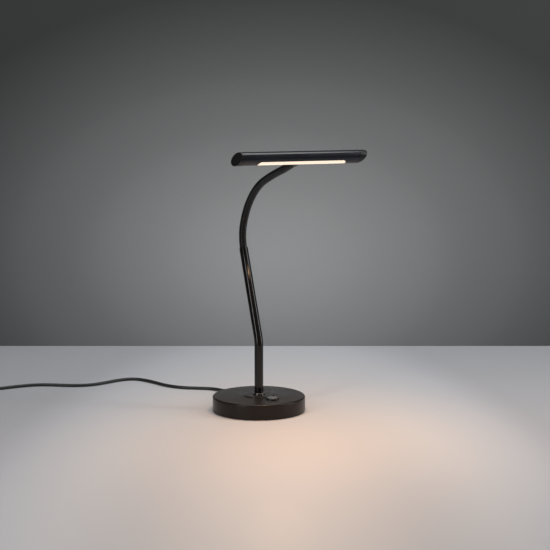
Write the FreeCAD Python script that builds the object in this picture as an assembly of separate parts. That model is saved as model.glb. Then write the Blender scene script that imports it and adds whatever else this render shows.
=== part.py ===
import FreeCAD, Part
import math
import os

# Piano lamp: a weighted round foot, a bent steel stem, a ribbed gooseneck and a tubular lamp head.
# Millimetres. Z points up, the front is -Y, the head lies along X, the floor is z = 0.
# The origin is the centre of the foot's underside.

# Foot
base_diameter = 140.0
base_height = 23.5
base_edge_radius = 2.6
base_rim_radius = 0.6
cover_wall = 1.6
cover_rim_height = 0.8  # the painted cover ends this far above the floor
boss_diameter = 47.0
boss_height = 1.3
boss_edge_radius = 0.35
pad_diameter = 128.0
pad_thickness = 1.6
plate_thickness = 1.4
plate_clearance = 0.35
weight_height = 13.0
weight_clearance = 0.5
post_diameter = 7.0
post_circle_radius = 53.0
post_angles = (60.0, 190.0, 315.0)
post_clearance = 0.3
post_tap_radius = 1.25
screw_shaft_radius = 1.2
screw_length = 8.0
screw_head_radius = 2.8
screw_head_depth = 1.2

# Stem
stem_diameter = 13.3
stem_wall = 1.4
stem_bend_height = 107.0  # where the two straight runs would cross
stem_lean = 21.0  # degrees the upper run leans back
stem_bend_radius = 50.0
stem_lean_run = 145.2
foot_ring_diameter = 17.4
foot_ring_height = 2.3
nipple_diameter = 10.3
nipple_bore = 7.0
nipple_grip = 18.0
nipple_below = 7.6
nut_flats = 15.0
nut_thickness = 3.0
washer_diameter = 20.0
washer_thickness = 1.5

# Gooseneck
neck_diameter = 11.4
neck_rib_depth = 0.85
neck_segments = 13
ribs_per_segment = 6
neck_joint_gap = 1.9
neck_ball_radius = 3.9
neck_ball_clearance = 0.3
neck_bore = 4.6
neck_arc_lengths = (34.0, 40.0, 66.3, 54.2, 43.7)
neck_arc_turns = (38.7, 21.6, 30.0, 5.2, -6.8)
neck_plug_length = 14.0

# Lamp head
head_diameter = 19.0
head_wall = 1.0
head_half_length = 97.4  # to the middle of each slanted end face
left_face_slant = 29.0
right_face_slant = 42.0
face_roll = 42.0  # the slant's direction, turned from straight up towards the front
cap_thickness = 6.9  # on the tube's axis
left_seam_slant = 9.6  # where a cap meets the tube
right_seam_slant = 27.4
cap_spigot_length = 7.0
cap_spigot_clearance = 0.1
cap_edge_radius = 0.5
window_angle = 155.0  # window's normal, turned from straight up towards the front
window_length = 139.0
window_width = 11.2
window_offset = 2.0
diffuser_clearance = 0.12
diffuser_recess = 0.3
diffuser_thickness = 2.0
diffuser_flange = 1.2
carrier_level = 3.0  # carrier's back face, from the tube's axis towards the window
carrier_thickness = 1.2
carrier_length = 152.0
carrier_side_clearance = 0.08
board_width = 9.0
board_length = 148.0
board_thickness = 1.0
led_count = 24
led_pitch = 5.6
led_size = (2.8, 2.8, 0.6)
board_screw_place = 71.0
board_screw_radius = 0.9
board_screw_head = 1.8
board_screw_head_height = 0.8
fitting_length = 9.0
fitting_diameter = 14.0
fitting_spigot_diameter = 6.6
fitting_bore = 3.4
saddle_length = 20.0
saddle_clearance = 0.12

# Push switch
button_place = 36.0  # in front of the stem
button_offset = 4.5  # to the right of the stem
button_diameter = 15.8
button_top = 3.0  # above the cover
button_head_height = 1.6
button_skirt_diameter = 12.4
button_skirt_depth = 5.9
button_travel = 1.0
bezel_diameter = 19.0
bezel_height = 2.2
bezel_clearance = 0.3
barrel_diameter = 15.2
barrel_bore = 13.0
barrel_length = 11.0
switch_nut_flats = 20.0
switch_nut_thickness = 2.8
switch_body_height = 8.0
plunger_diameter = 3.2
plunger_reach = 1.2
spring_diameter = 9.6
spring_wire = 0.8
spring_coils = 4
spring_end_clearance = 0.05

# Driver
driver_size = (34.0, 58.0, 11.5)
driver_wall = 1.2
driver_place = (34.0, 0.0)
driver_pocket_clearance = 1.0
board_lift = 2.2
driver_board_thickness = 1.2
driver_board_clearance = 0.3
channel_depth = 8.5

# Mains lead
cord_diameter = 5.0
cord_height = 8.5  # height of the outlet's axis
relief_length = 26.0
relief_root_diameter = 9.6
relief_tip_diameter = 6.4
relief_neck_diameter = 8.0
relief_hole_clearance = 0.1
relief_flange_diameter = 11.0
relief_flange_thickness = 2.6
relief_ribs = 4
relief_rib_cut = 0.9
clamp_size = (19.0, 8.0, 3.6)
clamp_place = 51.0
clamp_screw_spacing = 12.6
cord_bed = 0.1  # gap between the lead and the floor
coil_centre = (-378.0, 283.5)
coil_radius = 37.5
coil_turns = 6.25
coil_radial_gap = 0.5
coil_layer_gap = 0.5
coil_bed = 1.2  # the coil lies on its strap, this far above the floor
tie_width = 7.0
tie_thickness = 1.1
tie_angle = 140.0
plug_length = 36.0
plug_width = 35.0
plug_thickness = 13.7
plug_neck_length = 20.0
plug_neck_diameter = 8.6
pin_length = 19.0
pin_diameter = 4.0
pin_spacing = 18.6
pin_sleeve_length = 10.0
pin_sleeve_diameter = 4.6
lead_diameter = 3.2
switch_lead_diameter = 2.4
head_lead_diameter = 1.4

# The lead's route on the floor, from the strain relief to the coil: x, y and height above its bed.
lead_route = (
    (0.0, 114.0, 5.9),
    (1.6, 139.0, 1.6),
    (0.2, 160.0, 0.0),
    (-16.0, 174.0, 0.0),
    (-43.0, 192.0, 0.0),
    (-61.0, 222.0, 0.0),
    (-69.0, 262.0, 0.0),
    (-84.0, 296.0, 0.0),
    (-112.0, 298.0, 0.0),
    (-143.0, 286.0, 0.0),
    (-171.0, 280.0, 0.0),
    (-198.0, 290.0, 0.0),
    (-220.0, 307.0, 0.0),
    (-245.0, 323.0, 0.0),
    (-278.0, 325.0, 0.0),
    (-315.0, 320.0, 0.2),
    (-350.0, 321.0, 1.0),
)
# The short stretch from the coil to the plug: distance along it and height above its bed.
tail_route = ((17.0, 4.6), (37.0, 1.2), (58.0, 1.0), (78.0, 3.2))
tail_length = 92.0

X = FreeCAD.Vector(1, 0, 0)
Y = FreeCAD.Vector(0, 1, 0)
Z = FreeCAD.Vector(0, 0, 1)
origin = FreeCAD.Vector(0, 0, 0)

cover_top = base_height
cover_ceiling = base_height - cover_wall
cover_inner_radius = base_diameter / 2 - cover_wall
plate_bottom = pad_thickness
plate_top = plate_bottom + plate_thickness
weight_bottom = plate_top
weight_top = weight_bottom + weight_height
boss_top = cover_top + boss_height
stem_radius = stem_diameter / 2
stem_bore_radius = stem_radius - stem_wall
head_radius = head_diameter / 2
head_bore_radius = head_radius - head_wall
cord_radius = cord_diameter / 2
cord_bed_height = cord_radius + cord_bed
wall_outlet = base_diameter / 2
relief_tip = wall_outlet + relief_length


def vec(x, y, z):
    return FreeCAD.Vector(x, y, z)


def save(name, *solids):
    shape = solids[0] if len(solids) == 1 else Part.makeCompound(list(solids))
    shape.exportStep("parts/" + name + ".step")
    volume = sum(solid.Volume for solid in solids)
    print(f"{name}: {sum(len(s.Solids) for s in solids)} solid(s), {volume:.1f} mm3, valid {shape.isValid()}")


def rod(start, direction, radius, length):
    """A round bar from start along direction."""
    return Part.makeCylinder(radius, length, start, direction)


def pipe(start, direction, outer, inner, length):
    """A round bar with a hole right through it."""
    return rod(start, direction, outer, length).cut(rod(start - direction, direction, inner, length + 2))


def box(low, high):
    return Part.makeBox(high[0] - low[0], high[1] - low[1], high[2] - low[2], vec(*low))


def hexagon(centre, flats, height):
    """A hexagonal bar standing on centre."""
    across = flats / math.sqrt(3)
    corners = [
        vec(across * math.cos(math.radians(60 * k)), across * math.sin(math.radians(60 * k)), 0)
        for k in range(7)
    ]
    face = Part.Face(Part.makePolygon([centre + corner for corner in corners]))
    return face.extrude(Z * height)


def circle_wire(centre, direction, radius):
    return Part.Wire([Part.makeCircle(radius, centre, direction)])


def lathe(edges):
    """Turns a closed outline in the XZ plane once round the Z axis."""
    return Part.Face(Part.Wire(edges)).revolve(origin, Z, 360)


def line(a, b):
    return Part.LineSegment(a, b).toShape()


def corner_arc(corner, start_way, end_way, radius):
    """Quarter arc that rounds a square corner; the two ways point from the corner along its sides."""
    centre = corner + (start_way + end_way) * radius
    middle = centre - (start_way + end_way).normalize() * radius
    return Part.Arc(corner + start_way * radius, middle, corner + end_way * radius).toShape()


def rounded_path(points, radii):
    """Straight runs joined by tangent arcs, as a list of edges."""
    edges = []
    place = points[0]
    for before, corner, after, radius in zip(points, points[1:], points[2:], radii):
        back = (before - corner).normalize()
        ahead = (after - corner).normalize()
        half_turn = (math.pi - back.getAngle(ahead)) / 2
        reach = radius * math.tan(half_turn)
        into = corner + back * reach
        out = corner + ahead * reach
        bisector = (back + ahead).normalize()
        middle = corner + bisector * (radius / math.cos(half_turn) - radius)
        edges.append(line(place, into))
        edges.append(Part.Arc(into, middle, out).toShape())
        place = out
    edges.append(line(place, points[-1]))
    return edges


def free_radii(points):
    """Each corner's largest comfortable radius: 0.45 of its shorter run over the tangent of half its turn."""
    radii = []
    for before, corner, after in zip(points, points[1:], points[2:]):
        back = before - corner
        ahead = after - corner
        half_turn = (math.pi - back.getAngle(ahead)) / 2
        radii.append(0.45 * min(back.Length, ahead.Length) / math.tan(half_turn))
    return radii


def swept_bar(edges, radius):
    """A round bar along a path of tangent edges."""
    path = Part.Wire(edges)
    first = edges[0]
    start = first.valueAt(first.FirstParameter)
    direction = first.tangentAt(first.FirstParameter)
    return path.makePipeShell([circle_wire(start, direction, radius)], True, False)


def checked_bar(name, edges, radius):
    """A swept bar whose volume is compared with its section times its length."""
    bar = swept_bar(edges, radius)
    length = sum(edge.Length for edge in edges)
    share = bar.Volume / (math.pi * radius * radius * length)
    print(f"{name}: length {length:.1f} mm, volume share {share:.5f}")
    return bar


def tangent_arc(start, way, end):
    """The arc that leaves start along way and arrives at end."""
    chord = end - start
    side = chord - way * chord.dot(way)
    if side.Length < 1e-6:
        return line(start, end)
    side.normalize()
    radius = chord.dot(chord) / (2 * chord.dot(side))
    centre = start + side * radius
    outward = (start + chord * 0.5 - centre).normalize()
    if chord.dot(way) < 0:
        outward = outward * -1
    return Part.Arc(start, centre + outward * radius, end).toShape()


def biarc(start, start_way, end, end_way):
    """Two tangent arcs from one point and direction to another."""
    gap = end - start
    ways = start_way + end_way
    a = 2 * (start_way.dot(end_way) - 1)
    b = -2 * gap.dot(ways)
    c = gap.dot(gap)
    if abs(a) < 1e-9:
        reach = -c / b
    else:
        reach = (-b - math.sqrt(b * b - 4 * a * c)) / (2 * a)
    first_corner = start + start_way * reach
    second_corner = end - end_way * reach
    joint = (first_corner + second_corner) * 0.5
    way = (second_corner - first_corner).normalize()
    first = tangent_arc(start, start_way, joint)
    second = tangent_arc(joint, way, end)
    return [first, second]


# Centrelines of the stem and the gooseneck, both in the plane x = 0


def lean_way(angle):
    """Unit direction in the stem's plane, turned from straight up towards the front."""
    turn = math.radians(angle)
    return vec(0, -math.sin(turn), math.cos(turn))


stem_foot = vec(0, 0, boss_top)
stem_knee = vec(0, 0, stem_bend_height)
stem_top = stem_knee + lean_way(-stem_lean) * stem_lean_run
stem_way = lean_way(-stem_lean)


def neck_at(distance):
    """The gooseneck's point and lean angle at a distance from the stem's end."""
    place = stem_top
    angle = -stem_lean
    left = distance
    last = len(neck_arc_lengths) - 1
    for index, (length, turn) in enumerate(zip(neck_arc_lengths, neck_arc_turns)):
        run = left if index == last else min(left, length)
        bend = math.radians(turn) / length
        start = math.radians(angle)
        end = start + bend * run
        place = place + vec(0, (math.cos(end) - math.cos(start)) / bend, (math.sin(end) - math.sin(start)) / bend)
        angle = math.degrees(end)
        left = left - run
        if left <= 0:
            break
    return place, angle


neck_length = sum(neck_arc_lengths)
segment_length = neck_length / neck_segments
neck_end, neck_end_angle = neck_at(neck_length)
neck_end_way = lean_way(neck_end_angle)
head_centre = neck_end + neck_end_way * (fitting_length + head_radius)


# Foot


def make_cover():
    outer = base_diameter / 2
    inner = cover_inner_radius
    inner_edge = base_edge_radius - cover_wall
    hole = nipple_diameter / 2 + 0.1
    out = X
    top = Z
    a = vec(hole, 0, cover_ceiling)
    b = vec(hole, 0, boss_top)
    c = vec(boss_diameter / 2, 0, boss_top)
    d = vec(boss_diameter / 2, 0, cover_top)
    e = vec(outer, 0, cover_top)
    f = vec(outer, 0, cover_rim_height)
    g = vec(inner, 0, cover_rim_height)
    h = vec(inner, 0, cover_ceiling)
    edges = [
        line(a, b),
        line(b, c - out * boss_edge_radius),
        corner_arc(c, out * -1, top * -1, boss_edge_radius),
        line(c - top * boss_edge_radius, d),
        line(d, e - out * base_edge_radius),
        corner_arc(e, out * -1, top * -1, base_edge_radius),
        line(e - top * base_edge_radius, f + top * base_rim_radius),
        corner_arc(f, top, out * -1, base_rim_radius),
        line(f - out * base_rim_radius, g),
        line(g, h - top * inner_edge),
        corner_arc(h, top * -1, out * -1, inner_edge),
        line(h - out * inner_edge, a),
    ]
    cover = lathe(edges)
    for angle in post_angles:
        post = rod(post_place(angle, plate_top), Z, post_diameter / 2, cover_ceiling - plate_top + 0.1)
        tap = rod(post_place(angle, plate_top - 1), Z, post_tap_radius, screw_length + 1.5)
        cover = cover.fuse(post).cut(tap)
    button_hole = rod(at_button(0), Z, barrel_diameter / 2 + 0.1, base_height * 2)
    outlet = rod(vec(0, cover_inner_radius - 8, cord_height), Y, relief_neck_diameter / 2 + relief_hole_clearance, 20)
    return cover.cut(button_hole).cut(outlet)


def post_place(angle, height):
    turn = math.radians(angle)
    return vec(post_circle_radius * math.cos(turn), post_circle_radius * math.sin(turn), height)


def make_plate():
    plate = rod(vec(0, 0, plate_bottom), Z, cover_inner_radius - plate_clearance, plate_thickness)
    for angle in post_angles:
        plate = plate.cut(rod(post_place(angle, 0), Z, screw_shaft_radius + 0.15, base_height))
        sink = Part.makeCone(
            screw_head_radius + 0.1,
            screw_shaft_radius + 0.15,
            screw_head_depth,
            post_place(angle, plate_bottom),
            Z,
        )
        plate = plate.cut(sink)
    return plate


def make_screws():
    screws = []
    for angle in post_angles:
        head = Part.makeCone(
            screw_head_radius, screw_shaft_radius, screw_head_depth, post_place(angle, plate_bottom), Z
        )
        shaft = rod(
            post_place(angle, plate_bottom + screw_head_depth - 0.01), Z, screw_shaft_radius, screw_length
        )
        slot = box((-screw_head_radius, -0.35, 0), (screw_head_radius, 0.35, 0.5))
        slot.translate(post_place(angle, plate_bottom - 0.01))
        screws.append(head.fuse(shaft).cut(slot))
    return screws


def make_pad():
    return rod(origin, Z, pad_diameter / 2, pad_thickness)


def make_weight():
    weight = rod(vec(0, 0, weight_bottom), Z, cover_inner_radius - weight_clearance, weight_height)
    channel_floor = weight_top - channel_depth
    lead_channel_floor = cord_height - cord_radius - 0.6
    above = weight_top + 1
    below = weight_bottom - 1
    wide = driver_size[0] / 2 + driver_pocket_clearance
    long = driver_size[1] / 2 + driver_pocket_clearance
    cuts = [
        rod(vec(0, 0, below), Z, nipple_diameter / 2 + 3.0, weight_height + 2),
        rod(at_button(below), Z, barrel_diameter / 2 + 2.4, weight_height + 2),
        box(
            (driver_place[0] - wide, driver_place[1] - long, below),
            (driver_place[0] + wide, driver_place[1] + long, above),
        ),
        box((-clamp_size[0] / 2 - 2, clamp_place - 9, below), (clamp_size[0] / 2 + 2, wall_outlet, above)),
        box((0, -4, channel_floor), (driver_place[0], 4, above)),
        box((-5, 20, lead_channel_floor), (5, clamp_place, above)),
        box((-5, 20, lead_channel_floor), (driver_place[0], 30, above)),
        box((-4, -button_place - 4, channel_floor), (driver_place[0], -18, above)),
    ]
    for angle in post_angles:
        cuts.append(rod(post_place(angle, below), Z, post_diameter / 2 + post_clearance, weight_height + 2))
    for tool in cuts:
        weight = weight.cut(tool)
    return weight


def make_washer():
    low = cover_ceiling - washer_thickness
    return pipe(vec(0, 0, low), Z, washer_diameter / 2, nipple_diameter / 2 + 0.1, washer_thickness)


def make_nut():
    low = cover_ceiling - washer_thickness - nut_thickness
    nut = hexagon(vec(0, 0, low), nut_flats, nut_thickness)
    return nut.cut(rod(vec(0, 0, low - 1), Z, nipple_diameter / 2, nut_thickness + 2))


def make_nipple():
    low = cover_ceiling - nipple_below
    length = boss_top + nipple_grip - low
    return pipe(vec(0, 0, low), Z, nipple_diameter / 2, nipple_bore / 2, length)


def make_foot_ring():
    ring = pipe(stem_foot, Z, foot_ring_diameter / 2, stem_radius + 0.05, foot_ring_height)
    rims = [edge for edge in ring.Edges if abs(edge.BoundBox.ZMin - boss_top - foot_ring_height) < 1e-6]
    outer_rims = [edge for edge in rims if edge.BoundBox.XMax > stem_radius + 0.5]
    return ring.makeFillet(foot_ring_height * 0.35, outer_rims)


# Stem


def stem_path(start, end):
    return rounded_path([start, stem_knee, end], [stem_bend_radius])


def make_stem():
    edges = stem_path(stem_foot, stem_top)
    outside = swept_bar(edges, stem_radius)
    inside = swept_bar(edges, stem_bore_radius)
    stem = outside.cut(inside)
    top_rims = [edge for edge in stem.Edges if (edge.CenterOfMass - stem_top).Length < 0.01]
    outer_rim = max(top_rims, key=lambda edge: edge.Length)
    return stem.makeChamfer(0.4, [outer_rim])


def make_neck_plug():
    """The threaded sleeve in the stem's upper end that carries the gooseneck."""
    return pipe(
        stem_top - stem_way * neck_plug_length,
        stem_way,
        stem_bore_radius - 0.05,
        neck_bore / 2,
        neck_plug_length,
    )


# Gooseneck


def neck_circle(distance, radius):
    """A circle square to the gooseneck, its own X axis steady along X."""
    place, angle = neck_at(distance)
    way = lean_way(angle)
    circle = Part.makeCircle(radius)
    circle.Placement = FreeCAD.Placement(place, FreeCAD.Rotation(X, way.cross(X), way, "ZXY"))
    return Part.Wire([circle])


def neck_loft(stations):
    """A ruled skin through circles, given as distance and radius."""
    return Part.makeLoft([neck_circle(s, r) for s, r in stations], True, True)


def make_segment(index):
    start = index * segment_length
    end = start + segment_length
    first = index == 0
    last = index == neck_segments - 1
    low = start if first else start + neck_joint_gap / 2
    high = end if last else end - neck_joint_gap / 2
    crest = neck_diameter / 2
    root = crest - neck_rib_depth
    pitch = (high - low) / ribs_per_segment
    stations = []
    for rib in range(ribs_per_segment):
        at = low + rib * pitch
        stations += [(at, root), (at + 0.2 * pitch, crest), (at + 0.62 * pitch, crest), (at + 0.82 * pitch, root)]
    stations.append((high, root))
    segment = neck_loft(stations)
    if not last:
        centre = neck_at(end)[0]
        segment = segment.fuse(Part.makeSphere(neck_ball_radius, centre))
    if not first:
        centre = neck_at(start)[0]
        segment = segment.cut(Part.makeSphere(neck_ball_radius + neck_ball_clearance, centre))
    bore_start = start - 1 if first else start - neck_joint_gap
    bore_end = end + 1 if last else end + neck_ball_radius + 1
    steps = 6
    bore = [
        (bore_start + (bore_end - bore_start) * k / steps, neck_bore / 2)
        for k in range(steps + 1)
    ]
    return segment.cut(neck_loft(bore))


# Lamp head. Directions round the tube are angles from straight up towards the front.


def round_head(angle):
    return lean_way(angle)


window_way = round_head(window_angle)
window_side = window_way.cross(X)


def in_head(along, side, level):
    """A point in the head: along X, across the window and towards the window."""
    return head_centre + X * along + window_side * side + window_way * level


def head_block(low, high):
    """A box in the head's own directions: along, side and level."""
    size = [high[k] - low[k] for k in range(3)]
    block = Part.makeBox(size[0], size[1], size[2])
    block.Placement = FreeCAD.Placement(
        in_head(*low), FreeCAD.Rotation(X, window_side, window_way, "XYZ")
    )
    return block


def beyond(offset, slant, side):
    """Everything past a slanted plane that crosses the head's axis at offset; side is -1 left or 1 right."""
    rise = math.tan(math.radians(slant))
    normal = (X - round_head(face_roll) * rise).normalize() * side
    size = 80.0
    block = Part.makeBox(size, size, size, vec(-size / 2, -size / 2, 0))
    block.Placement = FreeCAD.Placement(head_centre + X * offset, FreeCAD.Rotation(Z, normal))
    return block


def head_bar(radius, half_length):
    return rod(head_centre - X * half_length, X, radius, half_length * 2)


def stadium(length, width, near, far):
    """A round-ended prism along the window's normal, between two levels."""
    half = (length - width) / 2
    block = head_block(
        (window_offset - half, -width / 2, near), (window_offset + half, width / 2, far)
    )
    for end in (-half, half):
        post = rod(in_head(window_offset + end, 0, near), window_way, width / 2, far - near)
        block = block.fuse(post)
    return block


seam_offset = head_half_length - cap_thickness
ends = (("left", -1, left_face_slant, left_seam_slant), ("right", 1, right_face_slant, right_seam_slant))


def make_head_tube():
    tube = head_bar(head_radius, 130).cut(head_bar(head_bore_radius, 140))
    for name, side, face_slant, seam_slant in ends:
        tube = tube.cut(beyond(side * seam_offset, seam_slant, side))
    tube = tube.cut(stadium(window_length, window_width, 0, head_diameter))
    neck_hole = rod(head_centre, neck_end_way * -1, fitting_spigot_diameter / 2 + 0.1, head_diameter)
    return tube.cut(neck_hole)


def make_cap(side, face_slant, seam_slant):
    face_offset = side * head_half_length
    seam = side * seam_offset
    bar = head_bar(head_radius, 130)
    block = bar.cut(beyond(face_offset, face_slant, side))
    outer = block.common(beyond(seam, seam_slant, side))
    face_rims = [edge for edge in outer.Edges if on_plane(edge, face_offset, face_slant)]
    outer = outer.makeFillet(cap_edge_radius, face_rims)
    spigot = head_bar(head_bore_radius - cap_spigot_clearance, 130)
    spigot = spigot.cut(beyond(seam, seam_slant, side))
    spigot = spigot.common(beyond(seam - side * cap_spigot_length, seam_slant, side))
    hollow = head_bar(head_bore_radius - cap_spigot_clearance - 1.4, 130)
    hollow = hollow.cut(beyond(seam - side * 0.5, seam_slant, side))
    return outer.fuse(spigot.cut(hollow))


def on_plane(edge, offset, slant):
    rise = math.tan(math.radians(slant))
    for step in range(5):
        span = edge.LastParameter - edge.FirstParameter
        point = edge.valueAt(edge.FirstParameter + span * step / 4) - head_centre
        if abs(point.x - offset - rise * point.dot(round_head(face_roll))) > 1e-4:
            return False
    return True


def make_diffuser():
    outer = head_bar(head_radius - diffuser_recess, 130)
    inner = head_bar(head_radius - diffuser_recess - diffuser_thickness, 140)
    shrink = diffuser_clearance * 2
    lens = outer.cut(inner).common(
        stadium(window_length - shrink, window_width - shrink, carrier_top, head_diameter)
    )
    flange_bar = head_bar(head_bore_radius - 0.05, 130).cut(inner)
    grow = diffuser_flange * 2
    flange = flange_bar.common(
        stadium(window_length + grow, window_width + grow, carrier_top, head_diameter)
    )
    return lens.fuse(flange)


carrier_top = carrier_level + carrier_thickness
board_top = carrier_top + board_thickness
lead_hole_place = window_offset + 60.0


def make_carrier():
    half = math.sqrt(head_bore_radius**2 - carrier_top**2) - carrier_side_clearance
    carrier = head_block(
        (window_offset - carrier_length / 2, -half, carrier_level),
        (window_offset + carrier_length / 2, half, carrier_top),
    )
    hole = rod(in_head(lead_hole_place, 0, 0), window_way, head_lead_diameter / 2 + 0.2, head_radius)
    for place in (-board_screw_place, board_screw_place):
        screw_hole = rod(in_head(window_offset + place, 0, 0), window_way, board_screw_radius, head_radius)
        carrier = carrier.cut(screw_hole)
    return carrier.cut(hole)


def make_led_board():
    board = head_block(
        (window_offset - board_length / 2, -board_width / 2, carrier_top),
        (window_offset + board_length / 2, board_width / 2, board_top),
    )
    for place in (-board_screw_place, board_screw_place):
        screw_hole = rod(in_head(window_offset + place, 0, 0), window_way, board_screw_radius, head_radius)
        board = board.cut(screw_hole)
    return board


def make_leds():
    chips = []
    for index in range(led_count):
        middle = window_offset + (index - (led_count - 1) / 2) * led_pitch
        chips.append(
            head_block(
                (middle - led_size[0] / 2, -led_size[1] / 2, board_top),
                (middle + led_size[0] / 2, led_size[1] / 2, board_top + led_size[2]),
            )
        )
    return chips


def make_board_screws():
    screws = []
    for place in (-board_screw_place, board_screw_place):
        foot = in_head(window_offset + place, 0, carrier_level)
        shaft = rod(foot, window_way, board_screw_radius, carrier_thickness + board_thickness)
        head = rod(in_head(window_offset + place, 0, board_top), window_way, board_screw_head, board_screw_head_height)
        screws.append(shaft.fuse(head))
    return screws


def make_fitting():
    """The collar between gooseneck and head, with its hollow spigot into the head."""
    collar = rod(neck_end, neck_end_way, fitting_diameter / 2, fitting_length + head_radius)
    saddle = head_bar(head_radius, 130)
    collar = collar.cut(saddle)
    lip = min(collar.Edges, key=lambda edge: (edge.CenterOfMass - neck_end).Length)
    collar = collar.makeFillet(1.2, [lip])
    spigot_start = neck_end + neck_end_way * (fitting_length * 0.5)
    spigot = rod(spigot_start, neck_end_way, fitting_spigot_diameter / 2, fitting_length * 0.5 + head_radius - 3.6)
    fitting = collar.fuse(spigot)
    return fitting.cut(rod(neck_end - neck_end_way, neck_end_way, fitting_bore / 2, 40))


def make_saddle():
    """The block inside the head that the fitting screws into."""
    block = rod(
        head_centre - X * saddle_length / 2, X, head_bore_radius - saddle_clearance, saddle_length
    )
    keep = head_block(
        (-saddle_length, -head_diameter, -head_diameter), (saddle_length, head_diameter, carrier_level - 0.2)
    )
    block = block.common(keep)
    block = block.cut(rod(head_centre + neck_end_way * 2, neck_end_way * -1, fitting_spigot_diameter / 2, 30))
    wire_way = rod(in_head(0, 0, lead_level), X, head_lead_diameter / 2 + 0.5, saddle_length)
    return block.cut(wire_way)


lead_level = carrier_level - head_lead_diameter / 2 - 0.6


def make_head_lead():
    """Supply lead from the fitting to the light board."""
    start = in_head(2.0, 0, lead_level)
    turn = in_head(lead_hole_place, 0, lead_level)
    end = in_head(lead_hole_place, 0, carrier_top)
    bend = 1.2
    return swept_bar(rounded_path([start, turn, end], [bend]), head_lead_diameter / 2)


# Push switch

bezel_floor = cover_top + 0.2
button_head_bottom = cover_top + button_top - button_head_height
skirt_bottom = button_head_bottom - button_skirt_depth
barrel_bottom = cover_top - barrel_length
button_axis = vec(button_offset, -button_place, 0)


def at_button(height):
    return button_axis + Z * height


def make_bezel():
    flange = rod(at_button(cover_top), Z, bezel_diameter / 2, bezel_height)
    rims = [edge for edge in flange.Edges if abs(edge.BoundBox.ZMin - cover_top - bezel_height) < 1e-6]
    flange = flange.makeFillet(0.6, rims)
    recess = rod(at_button(bezel_floor), Z, button_diameter / 2 + bezel_clearance, bezel_height)
    barrel = rod(at_button(barrel_bottom), Z, barrel_diameter / 2, barrel_length)
    bore = rod(at_button(barrel_bottom - 1), Z, barrel_bore / 2, barrel_length + bezel_height + 2)
    return flange.fuse(barrel).cut(recess).cut(bore)


def make_button():
    head = rod(at_button(button_head_bottom), Z, button_diameter / 2, button_head_height)
    rims = [edge for edge in head.Edges if abs(edge.BoundBox.ZMin - cover_top - button_top) < 1e-6]
    head = head.makeFillet(0.5, rims)
    skirt = rod(at_button(skirt_bottom), Z, button_skirt_diameter / 2, button_skirt_depth + 0.1)
    plunger_length = skirt_bottom - barrel_bottom + plunger_reach
    plunger = rod(at_button(barrel_bottom - plunger_reach), Z, plunger_diameter / 2, plunger_length + 0.1)
    return head.fuse(skirt).fuse(plunger)


def make_switch_nut():
    low = cover_ceiling - switch_nut_thickness
    nut = hexagon(at_button(low), switch_nut_flats, switch_nut_thickness)
    return nut.cut(rod(at_button(low - 1), Z, barrel_diameter / 2, switch_nut_thickness + 2))


def make_switch_body():
    body = rod(at_button(barrel_bottom - switch_body_height), Z, barrel_diameter / 2, switch_body_height)
    well_depth = plunger_reach + button_travel + 0.6
    well = rod(at_button(barrel_bottom - well_depth), Z, plunger_diameter / 2 + 0.2, well_depth + 1)
    return body.cut(well)


def make_spring():
    """The return spring under the button, as quarter-turn biarcs."""
    radius = (spring_diameter - spring_wire) / 2
    low = barrel_bottom + spring_wire / 2 + spring_end_clearance
    high = skirt_bottom - spring_wire / 2 - spring_end_clearance
    quarters = spring_coils * 4
    rise = (high - low) / quarters
    points = []
    for step in range(quarters + 1):
        turn = math.pi / 2 * step
        place = at_button(low + rise * step) + vec(radius * math.cos(turn), radius * math.sin(turn), 0)
        way = vec(-radius * math.sin(turn), radius * math.cos(turn), rise / (math.pi / 2)).normalize()
        points.append((place, way))
    return swept_bar(biarc_chain(points), spring_wire / 2)


def biarc_chain(points):
    edges = []
    for (start, start_way), (end, end_way) in zip(points, points[1:]):
        edges += biarc(start, start_way, end, end_way)
    return edges


# Driver

case_low = (driver_place[0] - driver_size[0] / 2, driver_place[1] - driver_size[1] / 2, plate_top)
case_high = (driver_place[0] + driver_size[0] / 2, driver_place[1] + driver_size[1] / 2, plate_top + driver_size[2])
board_bottom = plate_top + driver_wall + board_lift
driver_board_top = board_bottom + driver_board_thickness
entry_height = weight_top - channel_depth / 2


def make_driver_case():
    case = box(case_low, case_high)
    inside = box(
        (case_low[0] + driver_wall, case_low[1] + driver_wall, plate_top + driver_wall),
        (case_high[0] - driver_wall, case_high[1] - driver_wall, case_high[2] + 1),
    )
    case = case.cut(inside)
    for x in (case_low[0] + driver_wall + 2.5, case_high[0] - driver_wall - 2.5):
        for y in (case_low[1] + driver_wall + 2.5, case_high[1] - driver_wall - 2.5):
            case = case.fuse(rod(vec(x, y, plate_top + driver_wall - 0.1), Z, 1.8, board_lift + 0.1))
    return case


def make_driver_board():
    gap = driver_wall + driver_board_clearance
    return box(
        (case_low[0] + gap, case_low[1] + gap, board_bottom),
        (case_high[0] - gap, case_high[1] - gap, driver_board_top),
    )


def make_driver_parts():
    """Transformer, two capacitors, inductor and terminal block on the driver board."""
    x, y = driver_place
    z = driver_board_top
    room = case_high[2] - z
    return [
        box((x - 8, y - 9, z), (x + 8, y + 7, z + room * 0.98)),
        rod(vec(x - 9, y - 19, z), Z, 4.2, room * 0.95),
        rod(vec(x + 9, y - 19, z), Z, 3.2, room * 0.9),
        rod(vec(x + 9, y + 14, z), Z, 3.6, room * 0.8),
        box((x - 13, y + 19, z), (x - 1, y + 26, z + room * 0.85)),
        box((x - 4, y - 26, z), (x + 12, y - 24, z + room * 0.5)),
    ]


# Leads inside the foot and stem


def make_stem_lead():
    entry = vec(case_low[0], 0, entry_height)
    foot = vec(0, 0, entry_height)
    return swept_bar(
        rounded_path([entry, foot, stem_knee, stem_top], [5.5, stem_bend_radius]), lead_diameter / 2
    )


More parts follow.
